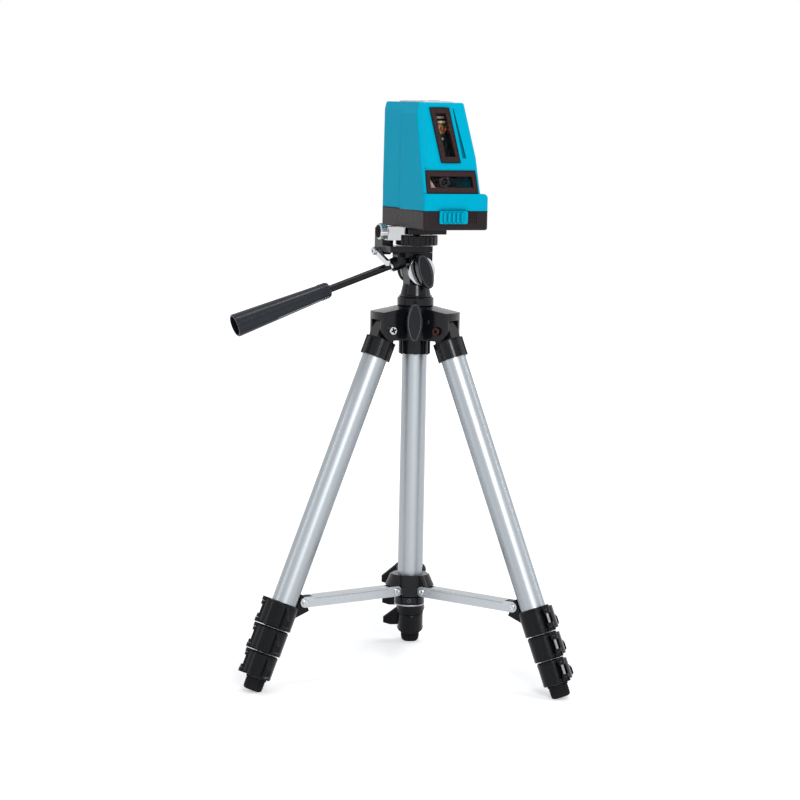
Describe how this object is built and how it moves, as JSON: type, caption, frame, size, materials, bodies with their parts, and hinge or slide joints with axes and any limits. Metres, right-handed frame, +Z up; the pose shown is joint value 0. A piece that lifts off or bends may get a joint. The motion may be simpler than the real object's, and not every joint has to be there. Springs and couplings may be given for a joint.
{
  "type": "laser level on tripod",
  "caption": "Self-levelling cross-line laser level with window bezels on a pan and tilt head, carried by a folding tripod with telescopic flip-lock legs and spreader braces",
  "frame": {"origin": "on the floor, on the axis of the centre column, midway between the three feet", "axes": "+Z up along the centre column, +Y towards the rear leg, +X to the right of somebody who faces the column lock knob; the pan head is turned 24 degrees anticlockwise from +X"},
  "size_m": [0.2834, 0.2466, 0.4775],
  "materials": {
    "black_plastic": "moulded, slightly satin black",
    "rubber_black": "matte",
    "satin_aluminium": "satin anodised",
    "chrome": "polished plating",
    "laser_blue": "moulded cyan blue, satin",
    "laser_black": "moulded brown-black, satin",
    "bezel": "dark brown-black",
    "glass": "clear",
    "zinc": "cast",
    "label_white": "bare white membrane",
    "steel_dark": "dark plated",
    "cell_green": "plain sleeve"
  },
  "bodies": {
    "root": {"crown": "black_plastic", "leg_pivot_bolts": "chrome", "centre_tube": "satin_aluminium", "tube_end_stop": "black_plastic"},
    "column_knob": {"column_lock_knob": "black_plastic"},
    "hub": {"brace_hub": "black_plastic"},
    "arm_1": {"brace_arm_1": "satin_aluminium"},
    "leg_1": {"leg_1_knuckle": "black_plastic", "leg_1_tube_1": "satin_aluminium", "leg_1_lock_1": "black_plastic"},
    "section_2_1": {"leg_1_section_2": "black_plastic"},
    "section_3_1": {"leg_1_section_3": "black_plastic"},
    "section_4_1": {"leg_1_section_4": "rubber_black"},
    "lever_1_1": {"leg_1_lever_1": "black_plastic"},
    "lever_2_1": {"leg_1_lever_2": "black_plastic"},
    "lever_3_1": {"leg_1_lever_3": "black_plastic"},
    "arm_2": {"brace_arm_2": "satin_aluminium"},
    "leg_2": {"leg_2_knuckle": "black_plastic", "leg_2_tube_1": "satin_aluminium", "leg_2_lock_1": "black_plastic"},
    "section_2_2": {"leg_2_section_2": "black_plastic"},
    "section_3_2": {"leg_2_section_3": "black_plastic"},
    "section_4_2": {"leg_2_section_4": "rubber_black"},
    "lever_1_2": {"leg_2_lever_1": "black_plastic"},
    "lever_2_2": {"leg_2_lever_2": "black_plastic"},
    "lever_3_2": {"leg_2_lever_3": "black_plastic"},
    "arm_3": {"brace_arm_3": "satin_aluminium"},
    "leg_3": {"leg_3_knuckle": "black_plastic", "leg_3_tube_1": "satin_aluminium", "leg_3_lock_1": "black_plastic"},
    "section_2_3": {"leg_3_section_2": "black_plastic"},
    "section_3_3": {"leg_3_section_3": "black_plastic"},
    "section_4_3": {"leg_3_section_4": "rubber_black"},
    "lever_1_3": {"leg_3_lever_1": "black_plastic"},
    "lever_2_3": {"leg_3_lever_2": "black_plastic"},
    "lever_3_3": {"leg_3_lever_3": "black_plastic"},
    "column": {"centre_column": "satin_aluminium"},
    "pan": {"pan_base": "black_plastic"},
    "tilt": {"tilt_block": "black_plastic", "tilt_washers": "chrome"},
    "tilt_knob": {"tilt_lock_knob": "black_plastic"},
    "handle": {"handle_rod": "steel_dark", "handle_grip": "black_plastic"},
    "plate": {"platform": "black_plastic", "platform_pad": "rubber_black", "laser_housing": "laser_blue", "laser_base": "laser_black", "window_bezels": "bezel", "window_glass": "glass", "battery_cells": "cell_green", "keypad": "label_white"},
    "lever_flip": {"flip_lever": "chrome"},
    "screw": {"camera_screw": "black_plastic"},
    "jaw": {"clamp_jaw": "chrome"},
    "jaw_knob": {"clamp_knob": "black_plastic"},
    "slider": {"lock_slider": "laser_blue"},
    "door": {"battery_door": "laser_black"},
    "button": {"power_button": "label_white"},
    "gimbal": {"gimbal_ring": "zinc"},
    "swing": {"pendulum": "zinc"}
  },
  "joints": [
    {"name": "column_lock_turn", "type": "hinge", "parent": "root", "child": "column_knob", "pos_m": [0, -0.022, 0.298], "axis": [0, -1, 0], "continuous": true},
    {"name": "brace_slide", "type": "slide", "parent": "root", "child": "hub", "axis": [0, 0, 1], "range_m": [0, 0.07105]},
    {"name": "brace_swing_1", "type": "hinge", "parent": "hub", "child": "arm_1", "pos_m": [-0.01256, -0.00725, 0.0732], "axis": [0.5, -0.866, 0], "range_deg": [0, 84.17]},
    {"name": "leg_fold_1", "type": "hinge", "parent": "arm_1", "child": "leg_1", "pos_m": [-0.08638, -0.04987, 0.07041], "axis": [-0.5, 0.866, 0], "range_deg": [0, 64.27]},
    {"name": "section_2_slide_1", "type": "slide", "parent": "leg_1", "child": "section_2_1", "axis": [-0.323, -0.1865, -0.9278], "range_m": [0, 0.175]},
    {"name": "section_3_slide_1", "type": "slide", "parent": "section_2_1", "child": "section_3_1", "axis": [-0.323, -0.1865, -0.9278], "range_m": [0, 0.175]},
    {"name": "section_4_slide_1", "type": "slide", "parent": "section_3_1", "child": "section_4_1", "axis": [-0.323, -0.1865, -0.9278], "range_m": [0, 0.175]},
    {"name": "lever_1_flip_1", "type": "hinge", "parent": "leg_1", "child": "lever_1_1", "pos_m": [-0.11808, -0.06209, 0.0658], "axis": [-0.323, -0.1865, -0.9278], "range_deg": [0, 110]},
    {"name": "lever_2_flip_1", "type": "hinge", "parent": "section_2_1", "child": "lever_2_1", "pos_m": [-0.12438, -0.06606, 0.04529], "axis": [-0.323, -0.1865, -0.9278], "range_deg": [0, 110]},
    {"name": "lever_3_flip_1", "type": "hinge", "parent": "section_3_1", "child": "lever_3_1", "pos_m": [-0.13027, -0.06987, 0.02537], "axis": [-0.323, -0.1865, -0.9278], "range_deg": [0, 110]},
    {"name": "brace_swing_2", "type": "hinge", "parent": "hub", "child": "arm_2", "pos_m": [0.01256, -0.00725, 0.0732], "axis": [0.5, 0.866, 0], "range_deg": [0, 84.17]},
    {"name": "leg_fold_2", "type": "hinge", "parent": "arm_2", "child": "leg_2", "pos_m": [0.08638, -0.04987, 0.07041], "axis": [-0.5, -0.866, 0], "range_deg": [0, 64.27]},
    {"name": "section_2_slide_2", "type": "slide", "parent": "leg_2", "child": "section_2_2", "axis": [0.323, -0.1865, -0.9278], "range_m": [0, 0.175]},
    {"name": "section_3_slide_2", "type": "slide", "parent": "section_2_2", "child": "section_3_2", "axis": [0.323, -0.1865, -0.9278], "range_m": [0, 0.175]},
    {"name": "section_4_slide_2", "type": "slide", "parent": "section_3_2", "child": "section_4_2", "axis": [0.323, -0.1865, -0.9278], "range_m": [0, 0.175]},
    {"name": "lever_1_flip_2", "type": "hinge", "parent": "leg_2", "child": "lever_1_2", "pos_m": [0.11281, -0.07122, 0.0658], "axis": [0.323, -0.1865, -0.9278], "range_deg": [0, 110]},
    {"name": "lever_2_flip_2", "type": "hinge", "parent": "section_2_2", "child": "lever_2_2", "pos_m": [0.1194, -0.07469, 0.04529], "axis": [0.323, -0.1865, -0.9278], "range_deg": [0, 110]},
    {"name": "lever_3_flip_2", "type": "hinge", "parent": "section_3_2", "child": "lever_3_2", "pos_m": [0.12564, -0.07788, 0.02537], "axis": [0.323, -0.1865, -0.9278], "range_deg": [0, 110]},
    {"name": "brace_swing_3", "type": "hinge", "parent": "hub", "child": "arm_3", "pos_m": [0, 0.0145, 0.0732], "axis": [-1, 0, 0], "range_deg": [0, 84.17]},
    {"name": "leg_fold_3", "type": "hinge", "parent": "arm_3", "child": "leg_3", "pos_m": [0, 0.09974, 0.07041], "axis": [1, 0, 0], "range_deg": [0, 64.27]},
    {"name": "section_2_slide_3", "type": "slide", "parent": "leg_3", "child": "section_2_3", "axis": [0, 0.373, -0.9278], "range_m": [0, 0.175]},
    {"name": "section_3_slide_3", "type": "slide", "parent": "section_2_3", "child": "section_3_3", "axis": [0, 0.373, -0.9278], "range_m": [0, 0.175]},
    {"name": "section_4_slide_3", "type": "slide", "parent": "section_3_3", "child": "section_4_3", "axis": [0, 0.373, -0.9278], "range_m": [0, 0.175]},
    {"name": "lever_1_flip_3", "type": "hinge", "parent": "leg_3", "child": "lever_1_3", "pos_m": [0.00527, 0.13331, 0.0658], "axis": [0, 0.373, -0.9278], "range_deg": [0, 110]},
    {"name": "lever_2_flip_3", "type": "hinge", "parent": "section_2_3", "child": "lever_2_3", "pos_m": [0.00498, 0.14075, 0.04529], "axis": [0, 0.373, -0.9278], "range_deg": [0, 110]},
    {"name": "lever_3_flip_3", "type": "hinge", "parent": "section_3_3", "child": "lever_3_3", "pos_m": [0.00462, 0.14775, 0.02537], "axis": [0, 0.373, -0.9278], "range_deg": [0, 110]},
    {"name": "column_slide", "type": "slide", "parent": "root", "child": "column", "axis": [0, 0, 1], "range_m": [0, 0.17]},
    {"name": "pan_turn", "type": "hinge", "parent": "column", "child": "pan", "pos_m": [0, 0, 0.317], "axis": [0, 0, 1], "continuous": true},
    {"name": "tilt_turn", "type": "hinge", "parent": "pan", "child": "tilt", "pos_m": [0, 0, 0.339], "axis": [-0.4067, 0.9135, 0], "range_deg": [-25, 60]},
    {"name": "tilt_lock_turn", "type": "hinge", "parent": "tilt", "child": "tilt_knob", "pos_m": [0.0061, -0.0137, 0.339], "axis": [0.4067, -0.9135, 0], "continuous": true},
    {"name": "handle_twist", "type": "hinge", "parent": "tilt", "child": "handle", "pos_m": [-0.0201, -0.00895, 0.343], "axis": [-0.8617, -0.3836, -0.3322], "continuous": true},
    {"name": "plate_flip", "type": "hinge", "parent": "tilt", "child": "plate", "pos_m": [-0.00508, 0.01142, 0.3539], "axis": [-0.9135, -0.4067, 0], "range_deg": [0, 90]},
    {"name": "flip_lever_turn", "type": "hinge", "parent": "tilt", "child": "lever_flip", "pos_m": [-0.03313, -0.00107, 0.3539], "axis": [-0.9135, -0.4067, 0], "range_deg": [0, 28]},
    {"name": "camera_screw_turn", "type": "hinge", "parent": "plate", "child": "screw", "pos_m": [0, 0, 0.3637], "axis": [0, 0, 1], "continuous": true},
    {"name": "jaw_slide", "type": "slide", "parent": "plate", "child": "jaw", "axis": [-0.9135, -0.4067, 0], "range_m": [0, 0.002]},
    {"name": "jaw_knob_turn", "type": "hinge", "parent": "jaw", "child": "jaw_knob", "pos_m": [-0.02808, -0.01316, 0.3708], "axis": [-0.9135, -0.4067, 0], "continuous": true},
    {"name": "pendulum_lock_slide", "type": "slide", "parent": "plate", "child": "slider", "axis": [0.9135, 0.4067, 0], "range_m": [0, 0.007]},
    {"name": "battery_door_open", "type": "hinge", "parent": "plate", "child": "door", "pos_m": [0.02945, -0.05508, 0.3762], "axis": [0.9135, 0.4067, 0], "range_deg": [-90, 0]},
    {"name": "power_press", "type": "slide", "parent": "plate", "child": "button", "axis": [0, 0, -1], "range_m": [0, 0.0005], "stiffness_N_per_m": 300, "springref_m": -0.0005},
    {"name": "gimbal_swing", "type": "hinge", "parent": "plate", "child": "gimbal", "pos_m": [0.01149, -0.02335, 0.461], "axis": [0.9135, 0.4067, 0], "range_deg": [-3.5, 3.5]},
    {"name": "pendulum_swing", "type": "hinge", "parent": "gimbal", "child": "swing", "pos_m": [0.01149, -0.02335, 0.461], "axis": [-0.4067, 0.9135, 0], "range_deg": [-3.5, 3.5]}
  ],
  "couplings": [
    {"joint": "brace_swing_1", "follows": "brace_slide", "rad_per_m": 20.677},
    {"joint": "leg_fold_1", "follows": "brace_slide", "rad_per_m": 15.788},
    {"joint": "brace_swing_2", "follows": "brace_slide", "rad_per_m": 20.677},
    {"joint": "leg_fold_2", "follows": "brace_slide", "rad_per_m": 15.788},
    {"joint": "brace_swing_3", "follows": "brace_slide", "rad_per_m": 20.677},
    {"joint": "leg_fold_3", "follows": "brace_slide", "rad_per_m": 15.788}
  ]
}
